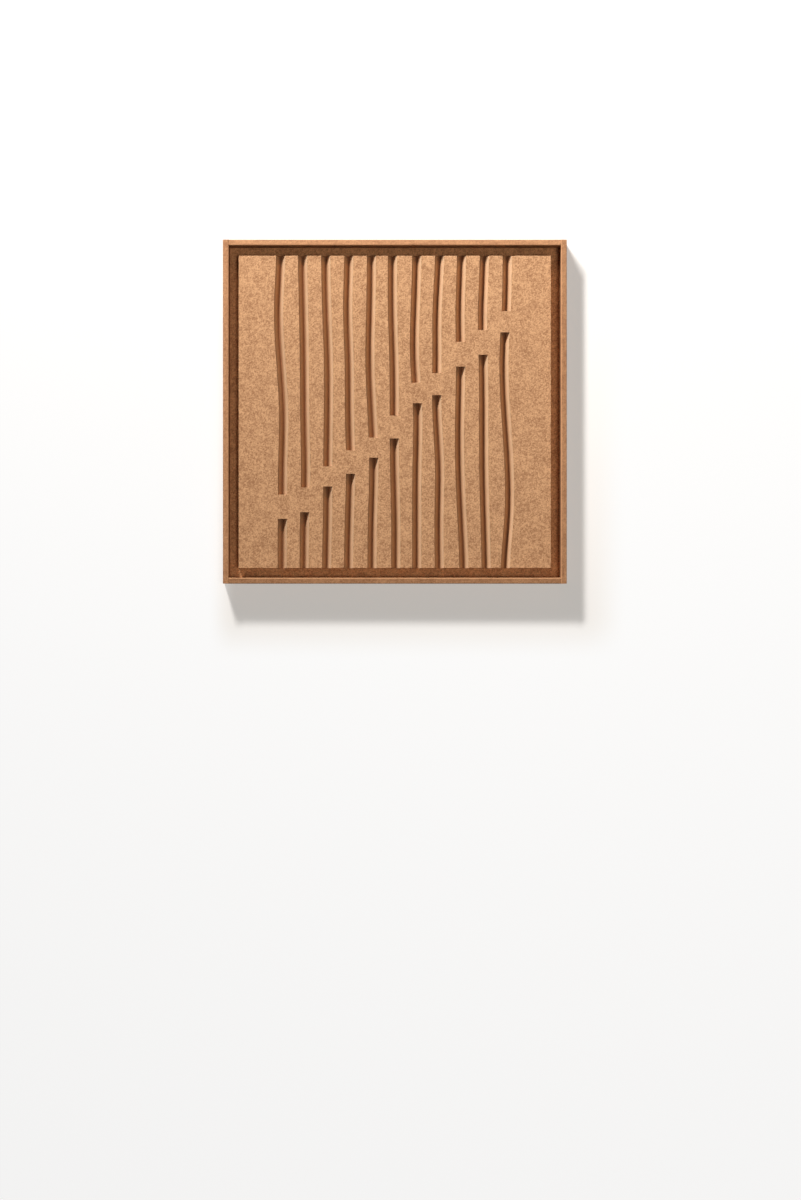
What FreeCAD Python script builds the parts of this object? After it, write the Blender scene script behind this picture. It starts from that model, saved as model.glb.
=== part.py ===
import FreeCAD, Part
import math
import os
import Sketcher

# Square wall tile of raw fibreboard. A grooved relief panel lies on a base board, inside a thin rim of four
# rails that stands proud of the panel's face and leaves a shadow gap all round it. The side rails run the
# full height, and the top and bottom rails fit between them. The rim's front slopes a little outward.
# X runs to the right and Y to the top of the tile as it hangs. Z runs out of its face, from the back at zero.

# Driving dimensions in millimetres
SIZES = {
    "tile_size": 300.0,
    "frame_depth": 27.0,
    "rail_thickness": 5.1,
    "rim_drop": 0.9,
    "arris_radius": 1.0,
    "base_thickness": 4.0,
    "panel_thickness": 16.0,
    "shadow_gap": 8.3,
    "edge_radius": 0.5,
    "groove_pitch": 19.7,
    "groove_shift": 0.5,
    "groove_width": 8.2,
    "root_width": 0.4,
    "groove_depth": 9.5,
    "bridge_length": 20.0,
    "wave_height": 2.6,
}

# One row for each groove, from left to right. The first number is the place of its bridge, as a share of the
# way down the panel, and the second is how long that bridge is, as a share of bridge_length. The last list is
# the groove's wave: how far it leans to the right at even stations down the panel, as a share of wave_height.
GROOVES = (
    (0.803, 1.06, (-0.3, -1.0, -0.3, 0.7, 0.4, 0.3, 0.2)),
    (0.781, 1.08, (-0.5, -0.2, 0.1, 0.2, 0.5, 0.2, 0.0)),
    (0.706, 0.88, (-0.3, 0.0, 0.6, 0.6, 0.4, 0.3, 0.0)),
    (0.660, 1.02, (-0.1, -0.5, 0.0, 0.1, 0.5, 0.1, -0.2)),
    (0.614, 0.88, (-0.1, -0.3, -0.6, 0.1, 0.7, 0.3, 0.1)),
    (0.548, 1.00, (-0.6, -0.6, -0.1, 0.0, 0.1, 0.5, 0.5)),
    (0.439, 0.89, (0.0, -0.5, -0.7, 0.3, 0.1, 0.0, 0.0)),
    (0.411, 0.96, (0.1, -0.7, -0.8, -0.8, 0.1, -0.1, 0.0)),
    (0.315, 1.08, (-0.1, -0.6, -0.4, -0.7, -0.7, 0.0, 0.7)),
    (0.277, 1.08, (0.0, -0.6, -0.4, -0.2, -0.2, 0.2, 0.6)),
    (0.211, 0.93, (0.1, -0.2, -1.0, -0.4, 0.7, 0.7, -0.5)),
)

RIM_OUTSIDE = "Sizes.tile_size / 2"
RIM_INSIDE = "Sizes.tile_size / 2 - Sizes.rail_thickness"
PANEL_EDGE = "Sizes.tile_size / 2 - Sizes.rail_thickness - Sizes.shadow_gap"

doc = FreeCAD.newDocument("wall_tile")

sheet = doc.addObject("Spreadsheet::Sheet", "Sizes")
for row, (name, value) in enumerate(SIZES.items(), start=1):
    sheet.set(f"A{row}", name)
    sheet.set(f"B{row}", str(value))
    sheet.setAlias(f"B{row}", name)
doc.recompute()


def new_body(label):
    """An empty sub-part with its own name."""
    body = doc.addObject("PartDesign::Body", label)
    body.Label = label
    return body


def sketch_on(body, plane, name):
    """An empty sketch on one of the sub-part's own origin planes."""
    sketch = body.newObject("Sketcher::SketchObject", name)
    support = next(item for item in body.Origin.OriginFeatures if item.Role == plane)
    sketch.AttachmentSupport = [(support, "")]
    sketch.MapMode = "FlatFace"
    return sketch


def close_loop(sketch):
    """Join the end of each edge of a sketch to the start of the next one."""
    count = sketch.GeometryCount
    for edge in range(count):
        sketch.addConstraint(Sketcher.Constraint("Coincident", edge, 2, (edge + 1) % count, 1))


def draw_outline(sketch, corners):
    """A closed outline of straight edges, each of its corners placed by two expressions of the sheet.

    It is drawn as a small regular polygon, and its constraints then move the corners to their places."""
    turns = [2 * math.pi * corner / len(corners) for corner in range(len(corners))]
    points = [FreeCAD.Vector(math.cos(turn), math.sin(turn), 0) for turn in turns]
    for start, end in zip(points, points[1:] + points[:1]):
        sketch.addGeometry(Part.LineSegment(start, end), False)
    close_loop(sketch)
    for corner, (point, place) in enumerate(zip(points, corners)):
        for axis, drawn, expression in zip("XY", point, place):
            index = sketch.addConstraint(Sketcher.Constraint("Distance" + axis, -1, 1, corner, 1, drawn))
            name = f"corner_{corner + 1}_{axis.lower()}"
            sketch.renameConstraint(index, name)
            sketch.setExpression(f"Constraints.{name}", expression)


def extrude(body, kind, sketch, length, side="One side"):
    """Add or cut away what a sketch sweeps over a length, an expression of the sheet."""
    feature = body.newObject(f"PartDesign::{kind}", sketch.Name + "_" + kind.lower())
    feature.Profile = sketch
    feature.SideType = side
    feature.setExpression("Length", length)
    doc.recompute()
    return feature


def round_edges(body, base, height, radius):
    """Ease the edges of a feature that lie level at a height. The radius is an expression of the sheet."""
    slack = 10 * Part.Precision.confusion()
    names = []
    for index, edge in enumerate(base.Shape.Edges, start=1):
        box = edge.BoundBox
        if abs(box.ZMin - height) < slack and abs(box.ZMax - height) < slack:
            names.append(f"Edge{index}")
    fillet = body.newObject("PartDesign::Fillet", base.Name + "_eased")
    fillet.Base = (base, names)
    fillet.setExpression("Radius", radius)
    doc.recompute()
    return fillet


def make_board(label, edge, thickness):
    """A square board lying on its back, centred on the tile. Its edges are that far from the middle."""
    body = new_body(label)
    outline = sketch_on(body, "XY_Plane", label + "_outline")
    low = f"-({edge})"
    draw_outline(outline, ((low, low), (edge, low), (edge, edge), (low, edge)))
    return body, extrude(body, "Pad", outline, thickness)


def make_rail(label, quarter_turns, end):
    """One rail of the rim, standing on edge. It is made at the right and turned to its own side.

    Its two ends are that far from the middle."""
    body = new_body(label)
    plan = sketch_on(body, "XY_Plane", label + "_plan")
    low = f"-({end})"
    draw_outline(plan, ((RIM_INSIDE, low), (RIM_OUTSIDE, low), (RIM_OUTSIDE, end), (RIM_INSIDE, end)))
    extrude(body, "Pad", plan, "Sizes.frame_depth")
    slope = sketch_on(body, "XZ_Plane", label + "_slope")
    draw_outline(slope, (
        (RIM_OUTSIDE, "Sizes.frame_depth - Sizes.rim_drop"),
        (RIM_OUTSIDE, "Sizes.frame_depth"),
        (RIM_INSIDE, "Sizes.frame_depth"),
    ))
    rail = extrude(body, "Pocket", slope, "Sizes.tile_size", side="Symmetric")
    inner_eased = round_edges(body, rail, sheet.frame_depth, "Sizes.arris_radius")
    round_edges(body, inner_eased, sheet.frame_depth - sheet.rim_drop, "Sizes.edge_radius")
    body.Placement.Rotation = FreeCAD.Rotation(FreeCAD.Vector(0, 0, 1), 90 * quarter_turns)
    return body


def centre_line(leans, height):
    """The wavy middle line of a groove, from the panel's top edge to its bottom edge and a little past both.

    Its parameter is the distance down from the top edge of a panel of this height."""
    past = sheet.groove_width
    downs = [height * station / (len(leans) - 1) for station in range(len(leans))]
    downs = [-past, *downs, height + past]
    shifts = [sheet.wave_height * lean for lean in (leans[0], *leans, leans[-1])]
    points = [FreeCAD.Vector(shift, height / 2 - down, 0) for shift, down in zip(shifts, downs)]
    line = Part.BSplineCurve()
    line.interpolate(Points=points, Parameters=downs)
    return line


def draw_groove(sketch, line, start, end, width):
    """The outline of one run of a groove at one level: two wavy sides and two square ends."""
    right = line.copy()
    right.segment(start, end)
    right.translate(FreeCAD.Vector(width / 2, 0, 0))
    left = right.copy()
    left.translate(FreeCAD.Vector(-width, 0, 0))
    left.reverse()
    bottom = Part.LineSegment(right.EndPoint, left.StartPoint)
    top = Part.LineSegment(left.EndPoint, right.StartPoint)
    for edge in (right, bottom, left, top):
        sketch.addGeometry(edge, False)
    close_loop(sketch)


def cut_groove(body, name, index, line, start, end):
    """Cut one run of a groove, with walls that slope from its wide mouth to its narrow root.

    The grooves are evenly spaced, and the whole row lies a little to the left of the tile's middle."""
    levels = (
        ("mouth", "Sizes.panel_thickness", sheet.groove_width),
        ("root", "Sizes.panel_thickness - Sizes.groove_depth", sheet.root_width),
    )
    pitches_from_middle = index - (len(GROOVES) - 1) / 2
    place = f"Sizes.groove_pitch * {pitches_from_middle} - Sizes.groove_shift"
    outlines = []
    for level, height, width in levels:
        outline = sketch_on(body, "XY_Plane", f"{name}_{level}")
        draw_groove(outline, line, start, end, width)
        outline.setExpression("AttachmentOffset.Base.x", place)
        outline.setExpression("AttachmentOffset.Base.z", height)
        outlines.append(outline)
    cut = body.newObject("PartDesign::SubtractiveLoft", name)
    cut.Profile = outlines[0]
    cut.Sections = outlines[1:]
    cut.Ruled = True
    doc.recompute()


def make_relief_panel():
    """The panel with its wavy grooves, each broken once by a flat bridge. It lies on the base board."""
    body, board = make_board("relief_panel", PANEL_EDGE, "Sizes.panel_thickness")
    round_edges(body, board, sheet.panel_thickness, "Sizes.edge_radius")
    height = board.Shape.BoundBox.YLength
    for index, (bridge_place, bridge_share, leans) in enumerate(GROOVES):
        line = centre_line(leans, height)
        bridge = height * bridge_place
        half_bridge = sheet.bridge_length * bridge_share / 2
        name = f"groove_{index + 1}"
        cut_groove(body, name + "_upper", index, line, line.FirstParameter, bridge - half_bridge)
        cut_groove(body, name + "_lower", index, line, bridge + half_bridge, line.LastParameter)
    body.setExpression("Placement.Base.z", "Sizes.base_thickness")
    return body


base_board, _ = make_board("base_board", RIM_INSIDE, "Sizes.base_thickness")
pieces = [base_board, make_relief_panel()]
for quarter_turns, side in enumerate(("right", "top", "left", "bottom")):
    end = RIM_OUTSIDE if side in ("right", "left") else RIM_INSIDE
    pieces.append(make_rail(side + "_rail", quarter_turns, end))
doc.recompute()

for item in doc.Objects:
    if "Invalid" in item.State or "Error" in item.State:
        raise RuntimeError(f"{item.Name} did not build: {item.State}")
for piece in pieces:
    if piece.Shape.isNull() or not piece.Shape.isValid() or len(piece.Shape.Solids) != 1:
        raise RuntimeError(f"{piece.Label} is not one sound solid")

os.makedirs("parts", exist_ok=True)
for piece in pieces:
    piece.Shape.exportStep(f"parts/{piece.Label}.step")
    print(f"{piece.Label}: {piece.Shape.Volume / 1000:.1f} cm3, {len(piece.Shape.Faces)} faces")
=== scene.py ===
import math

import bpy
from mathutils import Matrix, Vector


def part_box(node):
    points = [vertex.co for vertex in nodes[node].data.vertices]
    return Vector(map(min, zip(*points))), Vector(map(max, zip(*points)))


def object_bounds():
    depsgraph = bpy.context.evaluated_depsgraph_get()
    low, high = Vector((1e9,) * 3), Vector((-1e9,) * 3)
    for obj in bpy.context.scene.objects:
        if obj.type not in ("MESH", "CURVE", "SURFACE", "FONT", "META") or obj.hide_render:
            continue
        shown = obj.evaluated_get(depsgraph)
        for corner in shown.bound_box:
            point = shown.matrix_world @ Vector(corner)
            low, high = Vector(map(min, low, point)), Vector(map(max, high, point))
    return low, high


# Looks of a square wall tile of raw fibreboard, lying on its back on a pale floor and seen from above.
# The scene's lengths are in metres. In the finishes they are in millimetres, in the tile's own frame.

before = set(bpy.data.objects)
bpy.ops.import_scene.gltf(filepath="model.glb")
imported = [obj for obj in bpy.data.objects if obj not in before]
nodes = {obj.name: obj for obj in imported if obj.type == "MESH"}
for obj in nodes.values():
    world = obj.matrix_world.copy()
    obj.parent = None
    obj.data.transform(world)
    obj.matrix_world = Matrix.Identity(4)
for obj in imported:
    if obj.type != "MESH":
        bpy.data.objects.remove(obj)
cad_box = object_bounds()

TILE_SIZE = cad_box[1][0] - cad_box[0][0]
RIM_HEIGHT = cad_box[1][2]
RIM_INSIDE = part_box("base_board")[1].x
PANEL_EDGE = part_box("relief_panel")[1].x
PANEL_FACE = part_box("relief_panel")[1].z
MILLIMETRES = 1000.0

# The picture in its own pixels: its size, the tile's width and place in it, and how far off the camera is
PICTURE_WIDTH = 801
PICTURE_HEIGHT = 1200
TILE_PIXELS = 344.0
TILE_CENTRE = (394.85, 411.55)
CAMERA_PIXELS_AWAY = 3450

# The height of the camera's sensor, in millimetres
SENSOR_HEIGHT = 36.0

WHITE = (1.0, 1.0, 1.0)

# Shares of a white surface's full brightness that each light gives to the middle of the tile
KEY_SHARE = 0.87
FILL_SHARE = 0.22
SKY_SHARE = 0.03

# Each lamp's place, the point that it faces, the direction of its length, and its size
KEY_PLACE = (-0.61, 1.51, 1.22)
KEY_AIM = (-0.027, 1.826, 0.472)
KEY_ALONG = (0.0, 0.921, 0.389)
KEY_LENGTH = 0.9
KEY_WIDTH = 0.18
FILL_PLACE = (0.80, -0.48, 5.17)
FILL_AIM = (0.0, 0.0, 0.0)
FILL_ALONG = (0.0, 1.0, 0.0)
FILL_SIZE = 0.8
FILL_COLOUR = (1.0, 0.955, 0.90)

# Points along a lamp's length at which its light is worked out
LAMP_STEPS = 9

FLOOR_COLOUR = (0.94, 0.90, 0.855)
FLOOR_SIZE = 16.0
FLOOR_CLEARANCE = 0.0002

# The floor's glow, for the rays that look at the floor: its colour beside the tile, warm as a painted bounce
# of light off the tile, its share of what they see there, how much that share grows away from it, and where
# it starts to grow and is full, in millimetres from the tile's middle
SEEING_RAYS = ("Is Camera Ray", "Is Glossy Ray", "Is Transmission Ray")
WARM_BOUNCE_GLOW_COLOUR = (1.0, 0.97, 0.93)
GLOW_NEAR = 0.33
GLOW_GROWTH = 0.50
GLOW_LEFT = (-140.0, -165.0)
GLOW_RIGHT = (165.0, 205.0)
GLOW_BELOW = (-174.0, -218.0)

# Board colours, from the deepest to the palest fibres
FACE_DEEP = (0.356, 0.170, 0.077)
FACE_PALE = (0.652, 0.357, 0.178)
CORE_DEEP = (0.680, 0.408, 0.222)
CORE_PALE = (0.890, 0.582, 0.345)
# The grooves' left walls, which face away from the key lamp: a browner copy of the core, painted shade
SHADED_LEFT_WALL_DEEP = (0.470, 0.255, 0.128)
SHADED_LEFT_WALL_PALE = (0.660, 0.395, 0.210)
# The grooves' roots and end walls: painted shade
ROOT_SHADE_COLOUR = (0.330, 0.150, 0.065)
# The panel's sides: browner than its cut core, a painted shade that keeps the gaps beside it dark
SIDE_SHADE_DEEP = (0.240, 0.105, 0.045)
SIDE_SHADE_PALE = (0.440, 0.220, 0.105)
BASE_DEEP = (0.428, 0.183, 0.072)
BASE_PALE = (0.775, 0.382, 0.167)
RAIL_DEEP = (0.300, 0.128, 0.055)
RAIL_PALE = (0.560, 0.283, 0.135)

# Middle tones, from 0 at a finish's deepest colour to 1 at its palest
BOARD_TONE = 0.5
SIDE_SHADE_TONE = 0.2
RAIL_TONE = 0.54

# A pressed board's patterns: the sizes of its patches, mottle, grain and fibres, and how strongly grain and
# fibres show. A stretch below 1 draws a pattern out that way. Each direction of fibres starts elsewhere.
PATCH_SIZE = 11.0
MOTTLE_SIZE = 3.0
MOTTLE_DISTORTION = 0.4
GRAIN_SIZE = 1.2
GRAIN_SHARE = 1.9
FIBRE_WIDTH = 1.0
FIBRE_SHARE = 1.2
FIBRE_TURNS = (0.3, 1.35, 2.4)
FIBRE_STRETCH = (0.25, 1.0, 1.0)
FIBRE_SHIFT = (37.0, 11.0, 5.0)

# The base board is another sheet, so its pattern starts elsewhere
BASE_SHIFT = (170.0, 340.0, 0.0)

# A raw board's surface: its shine, its roughness and how far that varies, and the height of its grain
SHINE = 0.25
FACE_ROUGHNESS = 0.78
RAIL_ROUGHNESS = 0.76
ROUGHNESS_RANGE = 0.2
GRAIN_HEIGHT = 0.12

# The grooves: their depth, the cutter's long fine marks, how far the board's own shade shows in the walls,
# the share of the depth at which a wall starts to darken to the painted shade of its root, and how far the
# marks shift that depth
GROOVE_DEPTH = 9.5
MARK_STRETCH = (1.0, 0.06, 1.0)
MARK_SIZE = 0.9
WALL_SHADE = 0.4
ROOT_SHADE_STARTS = 0.35
MARK_WANDER = 2.0

# Soft steps between the panel's finishes: how far the surface leans to the right at a left wall and along the
# groove at its ends, the depths at which the face gives way, and how far inside the panel's edge its sides
# start
LEFT_WALL_LEAN = (0.0, 0.6)
END_WALL_LEAN = (0.5, 0.9)
FACE_DEPTHS = (0.1, 0.5)
SIDE_STARTS = 0.3
SIDE_FULL = 0.1

# The rails' sawn fronts: how far the board's shade, the streaks along the strip and a painted highlight along
# the inner arris show, how far from the inner side that highlight reaches, and how thin the plain faces at
# both sides are
RAIL_SHADE = 0.6
STREAK_STRETCH = (0.05, 1.0, 1.0)
STREAK_SIZE = 1.1
STREAK_SHARE = 0.8
ARRIS_HIGHLIGHT_SHARE = 0.5
ARRIS_STARTS = 1.2
ARRIS_FULL = 0.4
SKIN_STARTS = 0.12
SKIN_FULL = 0.02


class Flow:
    """An output of a node inside a material. Python's operators on it add the maths nodes."""

    def __init__(self, tree, socket):
        self.tree = tree
        self.socket = socket

    def make(self, kind, settings, inputs, output=0):
        """Add any node: first its settings, then the values or links of its sockets."""
        node = self.tree.nodes.new(kind)
        for name, value in settings.items():
            setattr(node, name, value)
        for name, value in inputs.items():
            if isinstance(value, Flow):
                self.tree.links.new(value.socket, node.inputs[name])
            else:
                node.inputs[name].default_value = value
        return Flow(self.tree, node.outputs[output])

    def maths(self, operation, *values):
        """One maths node on numbers or flowing values."""
        return self.make("ShaderNodeMath", {"operation": operation}, dict(enumerate(values)))

    def __add__(self, other):
        return self.maths("ADD", self, other)

    def __radd__(self, other):
        return self.maths("ADD", other, self)

    def __sub__(self, other):
        return self.maths("SUBTRACT", self, other)

    def __rsub__(self, other):
        return self.maths("SUBTRACT", other, self)

    def __mul__(self, other):
        return self.maths("MULTIPLY", self, other)

    def __rmul__(self, other):
        return self.maths("MULTIPLY", other, self)

    def __abs__(self):
        return self.maths("ABSOLUTE", self)

    def above(self, low, high):
        """How far this value has come from low to high, eased and kept between 0 and 1."""
        return self.make("ShaderNodeMapRange", {"interpolation_type": "SMOOTHSTEP"},
                         {"Value": self, "From Min": low, "From Max": high})

    def blend(self, start, end):
        """A colour from start to end, with this value as the share of the end colour."""
        return self.make("ShaderNodeMix", {"data_type": "RGBA"},
                         {0: self, 6: opaque(start), 7: opaque(end)}, output=2)

    def axis(self, index):
        """One of the three numbers of coordinates."""
        return self.make("ShaderNodeSeparateXYZ", {}, {0: self}, output=index)

    def placed(self, shift=(0, 0, 0), turn=0.0, scale=(1, 1, 1)):
        """The same coordinates, scaled, then turned about Z, then shifted, for one pattern."""
        return self.make("ShaderNodeMapping", {}, {
            "Vector": self, "Location": shift, "Rotation": (0, 0, turn), "Scale": scale})

    def noise(self, size, detail=2.0, distortion=0.0):
        """Soft random patches of about this size, around 0."""
        return self.make("ShaderNodeTexNoise", {}, {
            "Vector": self, "Scale": 1 / size, "Detail": detail, "Distortion": distortion}) - 0.5

    def together(self, *others):
        """Three numbers as coordinates."""
        return self.make("ShaderNodeCombineXYZ", {}, dict(enumerate((self, *others))))


def opaque(colour):
    """A colour as a node socket wants it. A flowing colour stays as it is."""
    return colour if isinstance(colour, Flow) else (*colour, 1.0)


def new_material(name):
    """An empty material: its surface shader, and its own coordinates in millimetres."""
    material = bpy.data.materials.new(name)
    material.use_nodes = True
    tree = material.node_tree
    shader = tree.nodes["Principled BSDF"]
    own = Flow(tree, tree.nodes.new("ShaderNodeTexCoord").outputs["Object"])
    return material, shader, own.placed(scale=(MILLIMETRES,) * 3)


def finish_board(shader, colour, roughness, height):
    """Join a raw board's colour, roughness and surface height to its shader."""
    shader.inputs["Specular IOR Level"].default_value = SHINE
    bump = height.make("ShaderNodeBump", {}, {"Height": height, "Distance": GRAIN_HEIGHT / MILLIMETRES})
    for name, flow in (("Base Color", colour), ("Roughness", roughness), ("Normal", bump)):
        flow.tree.links.new(flow.socket, shader.inputs[name])


def fibres(place):
    """Short pressed fibres lying in several directions, around 0."""
    strands = 0.0
    for index, turn in enumerate(FIBRE_TURNS):
        turned = place.placed(shift=tuple(part * index for part in FIBRE_SHIFT), turn=turn)
        strands = turned.placed(scale=FIBRE_STRETCH).noise(size=FIBRE_WIDTH, detail=1.0) + strands
    return strands


def board_shade(place):
    """How pale a pressed board is from place to place, from soft patches down to single fibres, around 0.

    Its fibres and its grain are also given by themselves."""
    patches = place.noise(size=PATCH_SIZE)
    mottle = place.noise(size=MOTTLE_SIZE, distortion=MOTTLE_DISTORTION)
    grain = place.noise(size=GRAIN_SIZE)
    strands = fibres(place)
    return patches + mottle + grain * GRAIN_SHARE + strands * FIBRE_SHARE, strands, grain


def make_base_finish(name):
    """Plain raw fibreboard."""
    material, shader, place = new_material(name)
    shade, strands, grain = board_shade(place.placed(shift=BASE_SHIFT))
    colour = (shade + BOARD_TONE).blend(BASE_DEEP, BASE_PALE)
    finish_board(shader, colour, FACE_ROUGHNESS + grain * ROUGHNESS_RANGE, grain + strands)
    return material


def make_relief_finish(name):
    """Raw fibreboard with a sanded face, sides painted brown and grooves that show its paler core.

    The left wall of each groove faces away from the key lamp and is browner: painted shade. The root and the
    ends of each groove darken: painted shade. The brown of the sides is painted shade that keeps the gaps
    dark."""
    material, shader, place = new_material(name)
    shade, strands, grain = board_shade(place)
    face = (shade + BOARD_TONE).blend(FACE_DEEP, FACE_PALE)

    marks = place.placed(scale=MARK_STRETCH).noise(size=MARK_SIZE)
    tone = shade * WALL_SHADE + marks + BOARD_TONE
    normal = place.make("ShaderNodeTexCoord", {}, {}, output="Normal")
    shaded_left_wall = normal.axis(0).above(*LEFT_WALL_LEAN)
    end_wall = abs(normal.axis(1)).above(*END_WALL_LEAN)
    depth = PANEL_FACE * MILLIMETRES - place.axis(2)
    # Painted shade: the walls darken with depth towards the root, and the end walls take the same dark colour
    root_shade = (depth + marks * MARK_WANDER).above(GROOVE_DEPTH * ROOT_SHADE_STARTS, GROOVE_DEPTH)
    # Painted shade: the left walls, which face away from the key lamp, take the browner copy of the core
    wall = shaded_left_wall.blend(tone.blend(CORE_DEEP, CORE_PALE), tone.blend(SHADED_LEFT_WALL_DEEP, SHADED_LEFT_WALL_PALE))
    wall = root_shade.blend(wall, ROOT_SHADE_COLOUR)
    wall = end_wall.blend(wall, ROOT_SHADE_COLOUR)

    edge = PANEL_EDGE * MILLIMETRES
    outward = place.maths("MAXIMUM", abs(place.axis(0)), abs(place.axis(1)))
    # Painted shade: the panel's sides are browner than its cut core, so that the gaps beside the panel stay
    # dark
    side_shade = (shade + SIDE_SHADE_TONE).blend(SIDE_SHADE_DEEP, SIDE_SHADE_PALE)
    below_face = outward.above(edge - SIDE_STARTS, edge - SIDE_FULL).blend(wall, side_shade)
    colour = depth.above(*FACE_DEPTHS).blend(face, below_face)
    finish_board(shader, colour, FACE_ROUGHNESS + grain * ROUGHNESS_RANGE, grain + strands)
    return material


def make_rail_finish(name):
    """A sawn edge of thin fibreboard: streaks along the strip, a painted highlight along its inner arris and
    plain side faces.
    """
    material, shader, place = new_material(name)
    shade, _, grain = board_shade(place)

    inside = RIM_INSIDE * MILLIMETRES
    outside = TILE_SIZE / 2 * MILLIMETRES
    across_x = abs(place.axis(0))
    upright = across_x.maths("GREATER_THAN", across_x, inside)
    across = across_x * upright + abs(place.axis(1)) * (1.0 - upright)
    along = place.axis(1) * upright + place.axis(0) * (1.0 - upright)
    strip = along.together(across, place.axis(2))

    streaks = strip.placed(scale=STREAK_STRETCH).noise(size=STREAK_SIZE)
    # Painted highlight: the front turns paler towards its inner arris
    arris_highlight = across.above(inside + ARRIS_STARTS, inside + ARRIS_FULL)
    tone = shade * RAIL_SHADE + streaks * STREAK_SHARE + arris_highlight * ARRIS_HIGHLIGHT_SHARE + RAIL_TONE
    from_middle = abs(across - (inside + outside) / 2)
    half = (outside - inside) / 2
    skin = from_middle.above(half - SKIN_STARTS, half - SKIN_FULL)
    plain = (shade + BOARD_TONE).blend(FACE_DEEP, FACE_PALE)
    colour = skin.blend(tone.blend(RAIL_DEEP, RAIL_PALE), plain)
    finish_board(shader, colour, RAIL_ROUGHNESS + streaks * ROUGHNESS_RANGE, grain + streaks)
    return material


def dress(names, material):
    """Give a finish to some of the tile's pieces."""
    for name in names:
        for slot in nodes[name].material_slots:
            slot.material = material


def make_camera():
    """A camera that looks straight down, with the tile where the picture has it."""
    pixel = TILE_SIZE / TILE_PIXELS
    distance = CAMERA_PIXELS_AWAY * pixel
    bpy.ops.object.camera_add()
    camera = bpy.context.object
    camera.name = "camera"
    camera.location = (
        (PICTURE_WIDTH / 2 - TILE_CENTRE[0]) * pixel,
        (TILE_CENTRE[1] - PICTURE_HEIGHT / 2) * pixel,
        RIM_HEIGHT + distance,
    )
    camera.rotation_euler = (0, 0, 0)
    camera.data.sensor_fit = "VERTICAL"
    camera.data.sensor_height = SENSOR_HEIGHT
    camera.data.lens = SENSOR_HEIGHT * CAMERA_PIXELS_AWAY / PICTURE_HEIGHT
    bpy.context.scene.camera = camera


def make_lamp(name, place, aim, along, length, width, share, colour=WHITE):
    """A soft oblong lamp that faces its aim, as strong as its share of the light on the tile asks.

    Its length runs along a direction, as nearly as its facing allows."""
    place = Vector(place)
    facing = (Vector(aim) - place).normalized()
    widthwise = Vector(along).cross(facing).normalized()
    lengthwise = facing.cross(widthwise)
    bpy.ops.object.light_add(type="AREA", location=place)
    lamp = bpy.context.object
    lamp.name = name
    lamp.rotation_euler = Matrix((lengthwise, widthwise, -facing)).transposed().to_euler()
    lamp.data.shape = "RECTANGLE"
    lamp.data.size = length
    lamp.data.size_y = width
    lamp.data.color = colour
    # Power times reach, divided by pi, is the light on the tile. At pi, a white surface is fully bright.
    reach = 0.0
    for step in range(LAMP_STEPS):
        from_middle = length * ((step + 0.5) / LAMP_STEPS - 0.5)
        ray = Vector((0, 0, PANEL_FACE)) - place - lengthwise * from_middle
        slant_at_tile = -ray.normalized().z
        slant_at_lamp = ray.normalized().dot(facing)
        reach += slant_at_tile * slant_at_lamp / ray.length_squared / LAMP_STEPS
    lamp.data.energy = share * math.pi ** 2 / reach


def make_sky():
    """An even white sky."""
    world = bpy.data.worlds.new("sky")
    world.use_nodes = True
    background = world.node_tree.nodes["Background"]
    background.inputs["Color"].default_value = opaque(WHITE)
    background.inputs["Strength"].default_value = SKY_SHARE
    bpy.context.scene.world = world


def make_floor():
    """A pale floor that keeps the tile's shadow. Away from the tile, its glow lifts it to white."""
    bpy.ops.mesh.primitive_plane_add(size=FLOOR_SIZE, location=(0, 0, -FLOOR_CLEARANCE))
    floor = bpy.context.object
    floor.name = "floor"
    material, shader, place = new_material("pale_floor")
    tree = material.node_tree
    shader.inputs["Base Color"].default_value = opaque(FLOOR_COLOUR)
    shader.inputs["Roughness"].default_value = 1.0
    shader.inputs["Specular IOR Level"].default_value = 0.0

    seen = 0.0
    for ray_kind in SEEING_RAYS:
        ray = place.make("ShaderNodeLightPath", {}, {}, output=ray_kind)
        seen = ray.maths("MAXIMUM", ray, seen)
    left = place.axis(0).above(*GLOW_LEFT)
    right = place.axis(0).above(*GLOW_RIGHT)
    below = place.axis(1).above(*GLOW_BELOW)
    away = 1.0 - (1.0 - left) * (1.0 - right) * (1.0 - below)
    # Painted light: beside the tile the glow is warm, as if light bounced off the tile, and it turns white
    # away from it
    glow = place.make("ShaderNodeEmission", {}, {"Color": away.blend(WARM_BOUNCE_GLOW_COLOUR, WHITE), "Strength": 1.0})
    lit = Flow(tree, shader.outputs[0])
    share = seen * (GLOW_NEAR + away * GLOW_GROWTH)
    mix = place.make("ShaderNodeMixShader", {}, {0: share, 1: lit, 2: glow})
    tree.links.new(mix.socket, tree.nodes["Material Output"].inputs["Surface"])
    floor.data.materials.append(material)


dress(["relief_panel"], make_relief_finish("relief_board"))
dress(["base_board"], make_base_finish("base_board"))
dress(["left_rail", "right_rail", "top_rail", "bottom_rail"], make_rail_finish("rail_board"))

make_camera()
make_floor()
make_sky()
make_lamp("key_lamp", KEY_PLACE, KEY_AIM, KEY_ALONG, KEY_LENGTH, KEY_WIDTH, KEY_SHARE)
make_lamp("fill_lamp", FILL_PLACE, FILL_AIM, FILL_ALONG, FILL_SIZE, FILL_SIZE, FILL_SHARE, FILL_COLOUR)
bpy.context.scene.view_settings.view_transform = "Standard"
